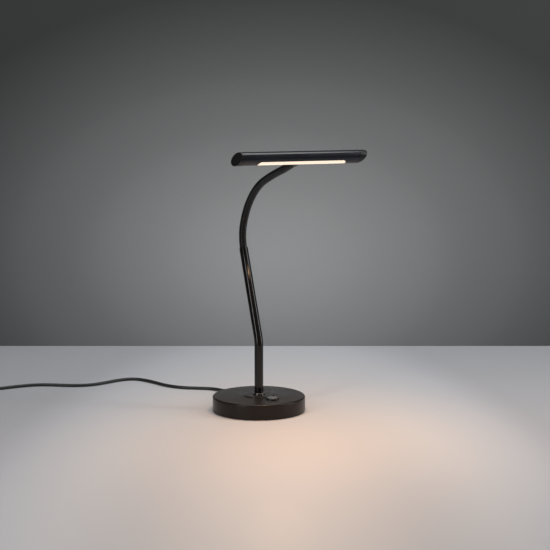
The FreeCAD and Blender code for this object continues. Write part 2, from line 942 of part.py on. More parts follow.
def make_switch_lead():
    height = entry_height
    start = vec(button_offset + barrel_diameter / 2, -button_place, height)
    corner = vec(driver_place[0] - 5, -button_place, height)
    end = vec(driver_place[0] - 5, case_low[1], height)
    return swept_bar(rounded_path([start, corner, end], [6.0]), switch_lead_diameter / 2)


def make_inner_lead():
    start = vec(0, relief_inner_end, cord_height)
    corner = vec(0, 25.0, cord_height)
    end = vec(case_low[0], 25.0, cord_height)
    return swept_bar(rounded_path([start, corner, end], [9.0]), cord_radius)


relief_inner_face = math.sqrt(cover_inner_radius**2 - (relief_flange_diameter / 2) ** 2) - 0.05
relief_inner_end = relief_inner_face - relief_flange_thickness


def make_relief():
    """Moulded strain relief: flange, neck through the wall, ribbed taper outside."""
    flange = rod(vec(0, relief_inner_end, cord_height), Y, relief_flange_diameter / 2, relief_flange_thickness)
    neck = rod(
        vec(0, relief_inner_face - 0.1, cord_height),
        Y,
        relief_neck_diameter / 2,
        wall_outlet - relief_inner_face + 0.2,
    )
    taper = Part.makeCone(
        relief_root_diameter / 2,
        relief_tip_diameter / 2,
        relief_length,
        vec(0, wall_outlet, cord_height),
        Y,
    )
    relief = flange.fuse(neck).fuse(taper)
    pitch = relief_length / (relief_ribs + 1.6)
    for rib in range(relief_ribs):
        at = wall_outlet + pitch * (rib + 1.1)
        share = (at - wall_outlet) / relief_length
        radius = (relief_root_diameter + (relief_tip_diameter - relief_root_diameter) * share) / 2
        groove = pipe(vec(0, at, cord_height), Y, radius + 2, radius - relief_rib_cut, pitch * 0.42)
        relief = relief.cut(groove)
    return relief


def make_clamp():
    """Lower saddle and upper bar of the clamp that holds the lead inside the foot."""
    width, depth, height = clamp_size
    pinch = rod(vec(0, clamp_place - depth, cord_height), Y, cord_radius + 0.03, depth * 2)
    low = box((-width / 2, clamp_place - depth / 2, plate_top), (width / 2, clamp_place + depth / 2, cord_height))
    bar = box(
        (-width / 2, clamp_place - depth / 2, cord_height + 0.2),
        (width / 2, clamp_place + depth / 2, cord_height + 0.2 + height),
    )
    for side in (-1, 1):
        hole = rod(vec(side * clamp_screw_spacing / 2, clamp_place, plate_top + 1), Z, 1.3, 30)
        low = low.cut(hole)
        bar = bar.cut(hole)
    return low.cut(pinch), bar.cut(pinch)


def make_clamp_screws():
    top = cord_height + 0.2 + clamp_size[2]
    screws = []
    for side in (-1, 1):
        x = side * clamp_screw_spacing / 2
        shaft = rod(vec(x, clamp_place, plate_top + 1.5), Z, 1.25, top - plate_top - 1.5)
        head = rod(vec(x, clamp_place, top), Z, 2.4, 1.6)
        screws.append(shaft.fuse(head))
    return screws


# Mains lead outside the foot


def lead_points():
    points = [vec(0, relief_tip, cord_height)]
    points += [vec(x, y, cord_bed_height + z) for x, y, z in lead_route]
    points.append(coil_points()[0][0] + X * cord_diameter)
    return points


def coil_points():
    """Points and directions every quarter turn: inwards, up a layer, outwards again."""
    pitch = cord_diameter + coil_radial_gap
    rise = cord_diameter + coil_layer_gap
    half = coil_turns / 2
    points = []
    for step in range(int(coil_turns * 4) + 1):
        turns = step / 4
        radius = coil_radius - pitch * min(turns, coil_turns - turns)
        inward = -pitch / (2 * math.pi)
        if turns > half:
            inward = -inward
        if abs(turns - half) < 0.125:
            inward = 0.0
        climb = min(max((turns - half) * 2 + 0.5, 0.0), 1.0)
        climbing = 0.0 < climb < 1.0
        turn = math.radians(90) + 2 * math.pi * turns
        out = vec(math.cos(turn), math.sin(turn), 0)
        ahead = vec(-math.sin(turn), math.cos(turn), 0)
        height = coil_bed + cord_radius + rise * climb
        place = vec(coil_centre[0], coil_centre[1], height) + out * radius
        way = ahead * radius + out * inward
        if climbing:
            way = way + Z * (rise / math.pi)
        if step == 0 or step == int(coil_turns * 4):
            way = ahead
        points.append((place, way.normalize()))
    return points


def make_coil():
    points = coil_points()
    first, first_way = points[0]
    last, last_way = points[-1]
    edges = [line(first - first_way * cord_diameter, first)]
    edges += biarc_chain(points)
    edges.append(line(last, last + last_way * cord_diameter))
    print(f"coil: least gap to itself {least_gap(edges):.2f} mm")
    return checked_bar("cord_coil", edges, cord_radius)


def least_gap(edges):
    """The smallest gap between turns, measured on points along the path."""
    points = []
    travelled = 0.0
    for edge in edges:
        count = max(2, int(edge.Length / 2))
        for step in range(count):
            span = edge.LastParameter - edge.FirstParameter
            points.append((travelled + edge.Length * step / count, edge.valueAt(edge.FirstParameter + span * step / count)))
        travelled += edge.Length
    least = 1e9
    for index, (at, point) in enumerate(points):
        for other_at, other in points[index + 1 :]:
            if other_at - at > cord_diameter * 4:
                least = min(least, (point - other).Length - cord_diameter)
    return least


def make_lead():
    points = lead_points()
    radii = free_radii(points)
    print("lead: radii " + " ".join(f"{radius:.0f}" for radius in radii))
    return checked_bar("cord_lead", rounded_path(points, radii), cord_radius)


def tail_points():
    last, way = coil_points()[-1]
    start = last + way * cord_diameter
    floor = vec(start.x, start.y, cord_bed_height)
    points = [start]
    points += [floor + way * along + Z * height for along, height in tail_route]
    points.append(floor + way * tail_length + Z * (plug_axis_height - cord_bed_height))
    return points, way


plug_axis_height = plug_thickness / 2


def make_tail():
    points, way = tail_points()
    radii = free_radii(points)
    print("tail: radii " + " ".join(f"{radius:.0f}" for radius in radii))
    return checked_bar("cord_tail", rounded_path(points, radii), cord_radius)


def make_tie():
    """A strap with a buckle block round the coil's turns."""
    pitch = cord_diameter + coil_radial_gap
    inner = coil_radius - pitch * coil_turns / 2 - cord_radius - 0.4
    outer = coil_radius + cord_radius + 0.4
    low = coil_bed
    high = coil_bed + cord_diameter * 2 + coil_layer_gap + 0.4
    half = tie_width / 2
    band = box(
        (inner - tie_thickness, -half, low - tie_thickness),
        (outer + tie_thickness, half, high + tie_thickness),
    )
    band = band.cut(box((inner, -half - 1, low), (outer, half + 1, high)))
    buckle = box((outer + tie_thickness - 0.1, -half, high - 5), (outer + tie_thickness + 2.6, half, high))
    tie = band.fuse(buckle)
    tie.rotate(origin, Z, tie_angle)
    tie.translate(vec(coil_centre[0], coil_centre[1], 0))
    return tie


def plug_frame():
    points, way = tail_points()
    return points[-1], way


def make_plug():
    start, way = plug_frame()
    across = Z.cross(way)
    body_start = start + way * plug_neck_length
    half_wide = plug_width / 2
    half_thick = plug_thickness / 2
    profile = [
        (plug_neck_diameter / 2, 0.0),
        (half_wide * 0.82, plug_length * 0.3),
        (half_wide, plug_length * 0.62),
        (half_wide, plug_length),
    ]
    outline = [body_start + across * side + way * along for side, along in profile]
    outline += [body_start - across * side + way * along for side, along in reversed(profile)]
    outline.append(outline[0])
    face = Part.Face(Part.makePolygon([point - Z * half_thick for point in outline]))
    body = face.extrude(Z * plug_thickness)
    upright = [edge for edge in body.Edges if abs(abs(edge.tangentAt(edge.FirstParameter).z) - 1) < 1e-6]
    corners = [edge for edge in upright if (edge.CenterOfMass - body_start).dot(way) > plug_length * 0.2]
    body = body.makeFillet(3.0, corners)
    rims = [edge for edge in body.Edges if abs(abs(edge.CenterOfMass.z - plug_axis_height) - half_thick) < 1e-6]
    side_rims = [edge for edge in rims if (edge.CenterOfMass - body_start).dot(way) > 0.01]
    body = body.makeFillet(1.6, side_rims)
    taper = Part.makeCone(cord_radius + 0.9, plug_neck_diameter / 2, plug_neck_length + 0.5, start, way)
    for ring in range(3):
        at = start + way * (3.5 + 4.6 * ring)
        taper = taper.cut(pipe(at, way, 12, cord_radius + 0.35 + 0.2 * ring, 1.9))
    return body.fuse(taper)


def make_pins():
    start, way = plug_frame()
    across = Z.cross(way)
    front = start + way * (plug_neck_length + plug_length)
    pins = []
    sleeves = []
    for side in (-1, 1):
        foot = front + across * (side * pin_spacing / 2)
        pin = rod(foot, way, pin_diameter / 2, pin_length)
        tip = max(pin.Edges, key=lambda edge: (edge.CenterOfMass - foot).dot(way))
        pins.append(pin.makeFillet(1.2, [tip]))
        sleeves.append(pipe(foot, way, pin_sleeve_diameter / 2, pin_diameter / 2, pin_sleeve_length - 1))
    return pins, sleeves


def main():
    os.makedirs("parts", exist_ok=True)
    save("base_cover", make_cover())
    save("base_plate", make_plate())
    save("base_screws", *make_screws())
    save("foot_pad", make_pad())
    save("base_weight", make_weight())
    save("stem_washer", make_washer())
    save("stem_nut", make_nut())
    save("threaded_nipple", make_nipple())
    save("stem_foot_ring", make_foot_ring())
    save("stem_tube", make_stem())
    save("neck_plug", make_neck_plug())
    for index in range(neck_segments):
        save(f"neck_segment_{index + 1:02d}", make_segment(index))
    save("head_tube", make_head_tube())
    for name, side, face_slant, seam_slant in ends:
        save("end_cap_" + name, make_cap(side, face_slant, seam_slant))
    save("diffuser", make_diffuser())
    save("led_carrier", make_carrier())
    save("led_board", make_led_board())
    save("led_chips", *make_leds())
    save("led_board_screws", *make_board_screws())
    save("neck_fitting", make_fitting())
    save("head_saddle", make_saddle())
    save("head_lead", make_head_lead())
    save("button_bezel", make_bezel())
    save("button_cap", make_button())
    save("switch_nut", make_switch_nut())
    save("switch_body", make_switch_body())
    save("button_spring", make_spring())
    save("driver_case", make_driver_case())
    save("driver_board", make_driver_board())
    save("driver_parts", *make_driver_parts())
    save("stem_lead", make_stem_lead())
    save("switch_lead", make_switch_lead())
    save("inner_lead", make_inner_lead())
    save("strain_relief", make_relief())
    clamp_low, clamp_bar = make_clamp()
    save("cord_clamp_saddle", clamp_low)
    save("cord_clamp_bar", clamp_bar)
    save("cord_clamp_screws", *make_clamp_screws())
    save("cord_lead", make_lead())
    save("cord_coil", make_coil())
    save("cord_tail", make_tail())
    save("coil_tie", make_tie())
    save("plug_body", make_plug())
    pins, sleeves = make_pins()
    save("plug_pins", *pins)
    save("plug_pin_sleeves", *sleeves)
    print(f"head centre {head_centre}, neck end {neck_end}, neck end angle {neck_end_angle:.2f}")


main()
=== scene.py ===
import math

import bmesh
import bpy
from mathutils import Matrix, Vector


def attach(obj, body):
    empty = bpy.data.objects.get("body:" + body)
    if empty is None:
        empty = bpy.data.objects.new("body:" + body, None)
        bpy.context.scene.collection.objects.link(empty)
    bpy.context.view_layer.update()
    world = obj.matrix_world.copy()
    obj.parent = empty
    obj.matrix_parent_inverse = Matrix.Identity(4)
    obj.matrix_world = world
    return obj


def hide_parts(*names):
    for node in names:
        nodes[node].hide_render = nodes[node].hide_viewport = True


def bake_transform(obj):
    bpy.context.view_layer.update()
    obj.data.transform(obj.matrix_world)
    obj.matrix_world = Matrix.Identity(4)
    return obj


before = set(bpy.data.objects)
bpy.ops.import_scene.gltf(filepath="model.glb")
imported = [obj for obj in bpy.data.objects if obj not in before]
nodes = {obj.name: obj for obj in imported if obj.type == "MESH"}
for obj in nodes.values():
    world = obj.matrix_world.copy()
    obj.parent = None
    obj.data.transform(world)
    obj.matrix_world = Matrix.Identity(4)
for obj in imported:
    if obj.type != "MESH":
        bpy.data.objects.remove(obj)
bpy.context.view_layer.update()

mm = 0.001  # sizes below are in millimetres, as on the drawing
near = 0.05  # how close a corner lies to the line that picks it
scene = bpy.context.scene

upWay = Vector((0, 0, 1))
sideWay = Vector((1, 0, 0))


# Small helpers


def deselect():
    active = bpy.context.view_layer.objects.active
    if active is not None and active.mode != "OBJECT":
        bpy.ops.object.mode_set(mode="OBJECT")
    bpy.ops.object.select_all(action="DESELECT")


def activate(piece):
    deselect()
    piece.select_set(True)
    bpy.context.view_layer.objects.active = piece


def applyTransform(piece):
    activate(piece)
    bpy.ops.object.transform_apply(location=True, rotation=True, scale=True)


def addBar(name, start, end, radius, vertices=96, endRadius=None, ends="NGON"):
    deselect()
    start, end = Vector(start) * mm, Vector(end) * mm
    way = end - start
    bpy.ops.mesh.primitive_cone_add(
        vertices=vertices,
        radius1=radius * mm,
        radius2=(radius if endRadius is None else endRadius) * mm,
        depth=way.length,
        end_fill_type=ends,
        location=(start + end) / 2,
        rotation=way.to_track_quat("Z", "Y").to_euler(),
    )
    piece = bpy.context.object
    piece.name = name
    applyTransform(piece)
    return piece


def edit(piece, kind):
    activate(piece)
    bpy.ops.object.mode_set(mode="EDIT")
    bpy.ops.mesh.select_mode(type=kind)
    bpy.ops.mesh.select_all(action="DESELECT")
    mesh = bmesh.from_edit_mesh(piece.data)
    mesh.faces.ensure_lookup_table()
    return mesh


def pickFaces(piece, test):
    mesh = edit(piece, "FACE")
    for face in mesh.faces:
        face.select_set(test(face.calc_center_median() / mm, face.normal))
    bmesh.update_edit_mesh(piece.data)


def pickEdges(piece, test):
    mesh = edit(piece, "EDGE")
    for edge in mesh.edges:
        edge.select_set(all(test(corner.co / mm) for corner in edge.verts))
    bmesh.update_edit_mesh(piece.data)


def done(piece):
    bpy.ops.object.mode_set(mode="OBJECT")
    piece.select_set(False)


def bevelPicked(piece, size, segments):
    bpy.ops.mesh.bevel(offset=size * mm, segments=segments, profile=0.5, affect="EDGES")
    done(piece)


def modify(piece, kind, **settings):
    activate(piece)
    modifier = piece.modifiers.new(kind.title(), kind)
    for name, value in settings.items():
        setattr(modifier, name, value)
    bpy.ops.object.modifier_apply(modifier=modifier.name)


def cutAway(piece, cutter):
    modify(piece, "BOOLEAN", operation="DIFFERENCE", solver="EXACT", object=cutter)
    bpy.data.objects.remove(cutter)


def bisect(piece, point, normal, fill):
    # everything on the normal's side goes
    activate(piece)
    bpy.ops.object.mode_set(mode="EDIT")
    bpy.ops.mesh.select_all(action="SELECT")
    bpy.ops.mesh.bisect(
        plane_co=Vector(point) * mm,
        plane_no=normal,
        use_fill=fill,
        clear_outer=True,
        threshold=1e-7,
    )
    done(piece)


def smooth(piece, angle=32):
    activate(piece)
    bpy.ops.object.shade_smooth_by_angle(angle=math.radians(angle))


def finishPiece(piece, material, body, replaced=()):
    piece.data.materials.clear()
    piece.data.materials.append(material)
    if body:
        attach(piece, body)
    if replaced:
        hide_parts(*replaced)
    return piece


# Camera

camera = {
    "place": (-0.92237, -1.86396, 0.4761),
    "azimuth": 27.0,
    "down": 7.38,
    "lens": 91.64,
}


def makeCamera():
    data = bpy.data.cameras.new("camera")
    data.sensor_width = 36
    data.lens = camera["lens"]
    data.clip_start = 0.05
    data.clip_end = 50
    holder = bpy.data.objects.new("camera", data)
    scene.collection.objects.link(holder)
    holder.location = camera["place"]
    holder.rotation_euler = (math.radians(90 - camera["down"]), 0, math.radians(-camera["azimuth"]))
    scene.camera = holder
    print("camera placed")


makeCamera()


# Node helpers


class Tree:
    # adds shader nodes and joins them
    def __init__(self, tree):
        self.tree = tree

    def add(self, kind, **values):
        node = self.tree.nodes.new(kind)
        for name, value in values.items():
            if name in node.bl_rna.properties:
                setattr(node, name, value)
        return node

    def put(self, node, values):
        for name, value in values.items():
            socket = node.inputs[name]
            if isinstance(value, bpy.types.NodeSocket):
                self.tree.links.new(value, socket)
            else:
                socket.default_value = value
        return node


def newGroup(name, inputs, outputs):
    group = bpy.data.node_groups.new(name, "ShaderNodeTree")
    for label, kind, value in inputs:
        socket = group.interface.new_socket(name=label, in_out="INPUT", socket_type=kind)
        if value is not None:
            socket.default_value = value
    for label, kind in outputs:
        group.interface.new_socket(name=label, in_out="OUTPUT", socket_type=kind)
    tree = Tree(group)
    return group, tree, tree.add("NodeGroupInput"), tree.add("NodeGroupOutput")


def makeGrainGroup():
    # fine orange-peel of sprayed paint or moulded plastic, with slow variations in gloss
    group, tree, given, out = newGroup(
        "surface grain",
        [
            ("Vector", "NodeSocketVector", None),
            ("Grain Size", "NodeSocketFloat", 0.4),
            ("Gloss Spread", "NodeSocketFloat", 0.05),
            ("Roughness", "NodeSocketFloat", 0.4),
        ],
        [
            ("Height", "NodeSocketFloat"),
            ("Roughness", "NodeSocketFloat"),
            ("Patches", "NodeSocketFloat"),
        ],
    )
    scale = tree.add("ShaderNodeMath", operation="DIVIDE")
    tree.put(scale, {0: 1000.0, 1: given.outputs["Grain Size"]})
    fine = tree.add("ShaderNodeTexNoise")
    tree.put(
        fine,
        {"Vector": given.outputs["Vector"], "Scale": scale.outputs[0], "Detail": 2.0, "Roughness": 0.55},
    )
    slow = tree.add("ShaderNodeTexNoise")
    tree.put(slow, {"Vector": given.outputs["Vector"], "Scale": 38.0, "Detail": 4.0, "Roughness": 0.6})
    spread = tree.add("ShaderNodeMapRange")
    tree.put(
        spread,
        {"Value": slow.outputs[0], "From Min": 0.3, "From Max": 0.7, "To Min": -1.0, "To Max": 1.0},
    )
    gloss = tree.add("ShaderNodeMath", operation="MULTIPLY_ADD")
    tree.put(gloss, {0: spread.outputs[0], 1: given.outputs["Gloss Spread"], 2: given.outputs["Roughness"]})
    tree.put(
        out,
        {"Height": fine.outputs[0], "Roughness": gloss.outputs[0], "Patches": slow.outputs[0]},
    )
    return group


def makeDustGroup():
    # a little dust that settles on what faces up
    group, tree, given, out = newGroup(
        "settled dust",
        [
            ("Vector", "NodeSocketVector", None),
            ("Color", "NodeSocketColor", (0.5, 0.5, 0.5, 1)),
            ("Amount", "NodeSocketFloat", 0.05),
        ],
        [("Color", "NodeSocketColor"), ("Mask", "NodeSocketFloat")],
    )
    place = tree.add("ShaderNodeNewGeometry")
    apart = tree.add("ShaderNodeSeparateXYZ")
    tree.put(apart, {0: place.outputs["Normal"]})
    facing = tree.add("ShaderNodeMapRange", clamp=True)
    tree.put(
        facing,
        {"Value": apart.outputs[2], "From Min": 0.35, "From Max": 1.0, "To Min": 0.0, "To Max": 1.0},
    )
    specks = tree.add("ShaderNodeTexNoise")
    tree.put(specks, {"Vector": given.outputs["Vector"], "Scale": 900.0, "Detail": 3.0, "Roughness": 0.7})
    sharp = tree.add("ShaderNodeMapRange", clamp=True)
    tree.put(
        sharp,
        {"Value": specks.outputs[0], "From Min": 0.5, "From Max": 0.75, "To Min": 0.25, "To Max": 1.0},
    )
    both = tree.add("ShaderNodeMath", operation="MULTIPLY")
    tree.put(both, {0: facing.outputs[0], 1: sharp.outputs[0]})
    mask = tree.add("ShaderNodeMath", operation="MULTIPLY")
    tree.put(mask, {0: both.outputs[0], 1: given.outputs["Amount"]})
    mix = tree.add("ShaderNodeMix", data_type="RGBA")
    tree.put(mix, {0: mask.outputs[0], 6: given.outputs["Color"], 7: (0.55, 0.52, 0.48, 1)})
    tree.put(out, {"Color": mix.outputs[2], "Mask": mask.outputs[0]})
    return group


grainGroup = makeGrainGroup()
dustGroup = makeDustGroup()


def newMaterial(name):
    # a plain Principled material, with the piece's own coordinates to hand
    material = bpy.data.materials.new(name)
    material.use_nodes = True
    material.node_tree.nodes.clear()
    tree = Tree(material.node_tree)
    output = tree.add("ShaderNodeOutputMaterial")
    shader = tree.add("ShaderNodeBsdfPrincipled")
    tree.tree.links.new(shader.outputs[0], output.inputs[0])
    where = tree.add("ShaderNodeTexCoord")
    return material, tree, shader, where.outputs["Object"]


def coatedSurface(name, dark, light, roughness, spread=0.05, grain=0.4, bump=0.06, dust=0.03, **shaderValues):
    # paint and plastic: two close tones, grain in the gloss and the bump, dust on top
    material, tree, shader, place = newMaterial(name)
    surface = tree.add("ShaderNodeGroup")
    surface.node_tree = grainGroup
    tree.put(surface, {"Vector": place, "Grain Size": grain, "Gloss Spread": spread, "Roughness": roughness})
    tone = tree.add("ShaderNodeMix", data_type="RGBA")
    tree.put(tone, {0: surface.outputs["Patches"], 6: (*dark, 1), 7: (*light, 1)})
    settled = tree.add("ShaderNodeGroup")
    settled.node_tree = dustGroup
    tree.put(settled, {"Vector": place, "Color": tone.outputs[2], "Amount": dust})
    relief = tree.add("ShaderNodeBump")
    tree.put(relief, {"Height": surface.outputs["Height"], "Strength": bump, "Distance": 0.0002})
    tree.put(
        shader,
        {
            "Base Color": settled.outputs["Color"],
            "Roughness": surface.outputs["Roughness"],
            "Normal": relief.outputs[0],
        },
    )
    tree.put(shader, shaderValues)
    return material


def bareMetal(name, dark, light, roughness, grain=0.8, stretch=(1, 1, 1), bump=0.05, metallic=1.0):
    # brushed, plated or cast metal
    material, tree, shader, place = newMaterial(name)
    along = tree.add("ShaderNodeMapping")
    along.inputs["Scale"].default_value = stretch
    tree.put(along, {"Vector": place})
    surface = tree.add("ShaderNodeGroup")
    surface.node_tree = grainGroup
    tree.put(
        surface,
        {"Vector": along.outputs[0], "Grain Size": grain, "Gloss Spread": 0.08, "Roughness": roughness},
    )
    tone = tree.add("ShaderNodeMix", data_type="RGBA")
    tree.put(tone, {0: surface.outputs["Patches"], 6: (*dark, 1), 7: (*light, 1)})
    relief = tree.add("ShaderNodeBump")
    tree.put(relief, {"Height": surface.outputs["Height"], "Strength": bump, "Distance": 0.0003})
    tree.put(
        shader,
        {
            "Base Color": tone.outputs[2],
            "Roughness": surface.outputs["Roughness"],
            "Metallic": metallic,
            "Normal": relief.outputs[0],
        },
    )
    return material


def frostedLens():
    # opal plastic, lit from behind, its warm tone shifting a little along the slot
    material, tree, shader, place = newMaterial("opal lens")
    surface = tree.add("ShaderNodeGroup")
    surface.node_tree = grainGroup
    tree.put(surface, {"Vector": place, "Grain Size": 0.5, "Gloss Spread": 0.03, "Roughness": 0.45})
    glow = tree.add("ShaderNodeMix", data_type="RGBA")
    tree.put(glow, {0: surface.outputs["Patches"], 6: (1.0, 0.77, 0.53, 1), 7: (1.0, 0.84, 0.62, 1)})
    tree.put(
        shader,
        {
            "Base Color": (0.85, 0.82, 0.78, 1),
            "Roughness": surface.outputs["Roughness"],
            "Emission Color": glow.outputs[2],
            "Emission Strength": 0.68,
        },
    )
    return material


# the finishes
bronzePaint = coatedSurface(
    "bronze paint", (0.0134, 0.0098, 0.0078), (0.0190, 0.0145, 0.0119), 0.30,
    grain=0.35, bump=0.06, dust=0.02, **{"Specular IOR Level": 0.22},
)
stemPaint = coatedSurface(
    "stem paint", (0.0050, 0.0044, 0.0040), (0.0075, 0.0066, 0.0060), 0.13,
    grain=0.5, bump=0.03, dust=0.0, **{"Specular IOR Level": 0.36},
)
hosePlating = coatedSurface(
    "hose plating", (0.004, 0.0036, 0.0033), (0.0065, 0.0058, 0.0053), 0.2,
    grain=0.3, bump=0.05, dust=0.0, Metallic=0.35,
)
headPaint = coatedSurface(
    "head paint", (0.0145, 0.0150, 0.0195), (0.0195, 0.0200, 0.0265), 0.2, grain=0.35, bump=0.02, dust=0.0
)
capPaint = coatedSurface(
    "cap paint", (0.007, 0.0065, 0.006), (0.011, 0.010, 0.0095), 0.3, grain=0.35, bump=0.08, dust=0.0
)
bezelPaint = coatedSurface(
    "bezel finish", (0.012, 0.011, 0.010), (0.018, 0.016, 0.015), 0.3, grain=0.3, bump=0.05, dust=0.0
)
# the button's light grey is partly its plastic and partly painted sheen, standing in for the reflection on
# its top
buttonPlasticAndPaintedSheen = coatedSurface(
    "button plastic and painted sheen", (0.085, 0.085, 0.088), (0.11, 0.11, 0.113), 0.22, grain=0.3, bump=0.06, dust=0.02
)
cordPvc = coatedSurface(
    "cord sheath", (0.012, 0.012, 0.012), (0.019, 0.019, 0.019), 0.46, grain=0.6, bump=0.10, dust=0.02
)
plugPlastic = coatedSurface(
    "plug plastic", (0.014, 0.014, 0.014), (0.022, 0.022, 0.022), 0.5, grain=0.5, bump=0.16, dust=0.03
)
padFoam = coatedSurface(
    "foot pad foam", (0.014, 0.014, 0.014), (0.03, 0.03, 0.03), 0.9, grain=0.9, bump=0.5, dust=0.0
)
blackPlastic = coatedSurface(
    "black plastic", (0.018, 0.018, 0.018), (0.028, 0.028, 0.028), 0.5, grain=0.5, bump=0.12, dust=0.0
)
whitePlastic = coatedSurface(
    "white plastic", (0.72, 0.72, 0.70), (0.82, 0.82, 0.80), 0.45, grain=0.5, bump=0.05, dust=0.0
)
boardGreen = coatedSurface(
    "board green", (0.02, 0.14, 0.05), (0.04, 0.2, 0.08), 0.35, grain=0.4, bump=0.05, dust=0.0
)
chipPhosphor = coatedSurface(
    "chip phosphor", (0.9, 0.72, 0.2), (0.95, 0.8, 0.3), 0.4, grain=0.2, bump=0.05, dust=0.0
)
ringPlating = bareMetal("ring plating", (0.16, 0.145, 0.13), (0.22, 0.2, 0.185), 0.2, grain=0.4, bump=0.02)
zincSteel = bareMetal("zinc steel", (0.50, 0.51, 0.53), (0.66, 0.66, 0.66), 0.34, bump=0.08)
plateSteel = bareMetal("plate steel", (0.38, 0.38, 0.39), (0.52, 0.52, 0.52), 0.42, bump=0.1)
castIron = bareMetal(
    "cast iron", (0.05, 0.05, 0.05), (0.11, 0.11, 0.11), 0.72, grain=1.6, bump=0.7, metallic=0.6
)
drawnAluminium = bareMetal(
    "drawn aluminium", (0.62, 0.62, 0.64), (0.76, 0.76, 0.77), 0.36, stretch=(0.1, 1, 1)
)
pinNickel = bareMetal("pin nickel", (0.62, 0.60, 0.55), (0.78, 0.76, 0.71), 0.2, bump=0.03)
opalLens = frostedLens()

nodeFinishes = {
    "base_plate": plateSteel,
    "base_screws": zincSteel,
    "foot_pad": padFoam,
    "base_weight": castIron,
    "stem_washer": zincSteel,
    "stem_nut": zincSteel,
    "threaded_nipple": zincSteel,
    "stem_foot_ring": ringPlating,
    "neck_plug": zincSteel,
    "diffuser": opalLens,
    "led_carrier": drawnAluminium,
    "led_board": whitePlastic,
    "led_chips": chipPhosphor,
    "led_board_screws": zincSteel,
    "neck_fitting": stemPaint,
    "head_saddle": drawnAluminium,
    "head_lead": whitePlastic,
    "switch_nut": zincSteel,
    "switch_body": blackPlastic,
    "button_spring": zincSteel,
    "driver_case": blackPlastic,
    "driver_board": boardGreen,
    "driver_parts": blackPlastic,
    "stem_lead": blackPlastic,
    "switch_lead": blackPlastic,
    "inner_lead": cordPvc,
    "strain_relief": cordPvc,
    "cord_clamp_saddle": blackPlastic,
    "cord_clamp_bar": blackPlastic,
    "cord_clamp_screws": zincSteel,
    "coil_tie": plugPlastic,
    "plug_body": plugPlastic,
    "plug_pins": pinNickel,
    "plug_pin_sleeves": plugPlastic,
}
for name, material in nodeFinishes.items():
    node = nodes[name]
    node.data.materials.clear()
    node.data.materials.append(material)
print("finishes made")


# Mains lead: the same route as the drawing, then the coil's turns, then the short tail

lead = {
    "diameter": 5.0,
    "bed": 0.1,
    "exit": (0.0, 96.0, 8.5),
    "length": 1768.0,  # all of it, with the coil and the tail
    "route": (
        (0.0, 114.0, 5.9),
        (1.6, 139.0, 1.6),
        (0.2, 160.0, 0.0),
        (-16.0, 174.0, 0.0),
        (-43.0, 192.0, 0.0),
        (-61.0, 222.0, 0.0),
        (-69.0, 262.0, 0.0),
        (-84.0, 296.0, 0.0),
        (-112.0, 298.0, 0.0),
        (-143.0, 286.0, 0.0),
        (-171.0, 280.0, 0.0),
        (-198.0, 290.0, 0.0),
        (-220.0, 307.0, 0.0),
        (-245.0, 323.0, 0.0),
        (-278.0, 325.0, 0.0),
        (-315.0, 320.0, 0.2),
        (-350.0, 321.0, 1.0),
    ),
    "coilCentre": (-378.0, 283.5),
    "coilRadius": 37.5,
    "coilTurns": 6.25,
    "coilPitch": 5.5,
    "coilBed": 1.2,
    "pointsPerTurn": 16,
    "tail": ((17.0, 4.6), (37.0, 1.2), (58.0, 1.0), (78.0, 3.2)),
    "tailLength": 92.0,
    "plugAxis": 6.85,
    "firstTurn": 90.0,
    "roundness": 6,
    "stepsPerPoint": 8,
}


def coilPoints():
    count = int(lead["coilTurns"] * lead["pointsPerTurn"])
    outward = 1 / math.cos(math.pi / lead["pointsPerTurn"])  # a smooth line runs inside its points
    half = lead["coilTurns"] / 2
    points = []
    for step in range(count + 1):
        turns = step / lead["pointsPerTurn"]
        radius = lead["coilRadius"] - lead["coilPitch"] * min(turns, lead["coilTurns"] - turns)
        climb = min(max((turns - half) * 2 + 0.5, 0.0), 1.0)
        height = lead["coilBed"] + lead["diameter"] / 2 + lead["coilPitch"] * climb
        turn = math.radians(lead["firstTurn"]) + 2 * math.pi * turns
        points.append(
            (
                lead["coilCentre"][0] + radius * outward * math.cos(turn),
                lead["coilCentre"][1] + radius * outward * math.sin(turn),
                height,
            )
        )
    return points


def makeLead():
    floor = lead["diameter"] / 2 + lead["bed"]
    points = [lead["exit"]]
    points += [(x, y, floor + z) for x, y, z in lead["route"]]
    points += coilPoints()
    endX = lead["coilCentre"][0] - lead["coilRadius"]
    endY = lead["coilCentre"][1] - lead["diameter"]
    points += [(endX, endY - along, floor + height) for along, height in lead["tail"]]
    points.append((endX, endY - lead["tailLength"], lead["plugAxis"]))
    curve = bpy.data.curves.new("mains_lead", "CURVE")
    curve.dimensions = "3D"
    curve.bevel_depth = lead["diameter"] / 2 * mm
    curve.bevel_resolution = lead["roundness"]
    curve.resolution_u = lead["stepsPerPoint"]
    curve.use_fill_caps = True
    spline = curve.splines.new("NURBS")
    spline.points.add(len(points) - 1)
    for point, place in zip(spline.points, points):
        point.co = (*(Vector(place) * mm), 1)
    spline.order_u = 3
    spline.use_endpoint_u = True
    cord = bpy.data.objects.new("mains_lead", curve)
    scene.collection.objects.link(cord)
    curve.materials.append(cordPvc)
    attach(cord, "base")
    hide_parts("cord_lead", "cord_coil", "cord_tail")
    print("lead laid", len(points), "points")
    return cord


makeLead()


# Foot

foot = {
    "radius": 70.0,
    "height": 23.5,
    "rim": 0.8,
    "rimEdge": 0.5,
    "edge": 2.6,
    "wall": 1.6,
    "bossRadius": 23.5,
    "bossHeight": 1.3,
    "bossEdge": 0.35,
    "bossFillet": 0.25,
    "stemHole": 5.25,
    "buttonPlace": (4.5, -36.0),
    "buttonHole": 7.7,
    "outletRadius": 4.1,
    "outletHeight": 8.5,
    "cut": (15.0, 40.0),  # the drills for the stem and the button, from and to
    "outletCut": (60.0, 80.0),
}


def ringAt(radius, height):
    return lambda p: abs(math.hypot(p.x, p.y) - radius) < near and abs(p.z - height) < near


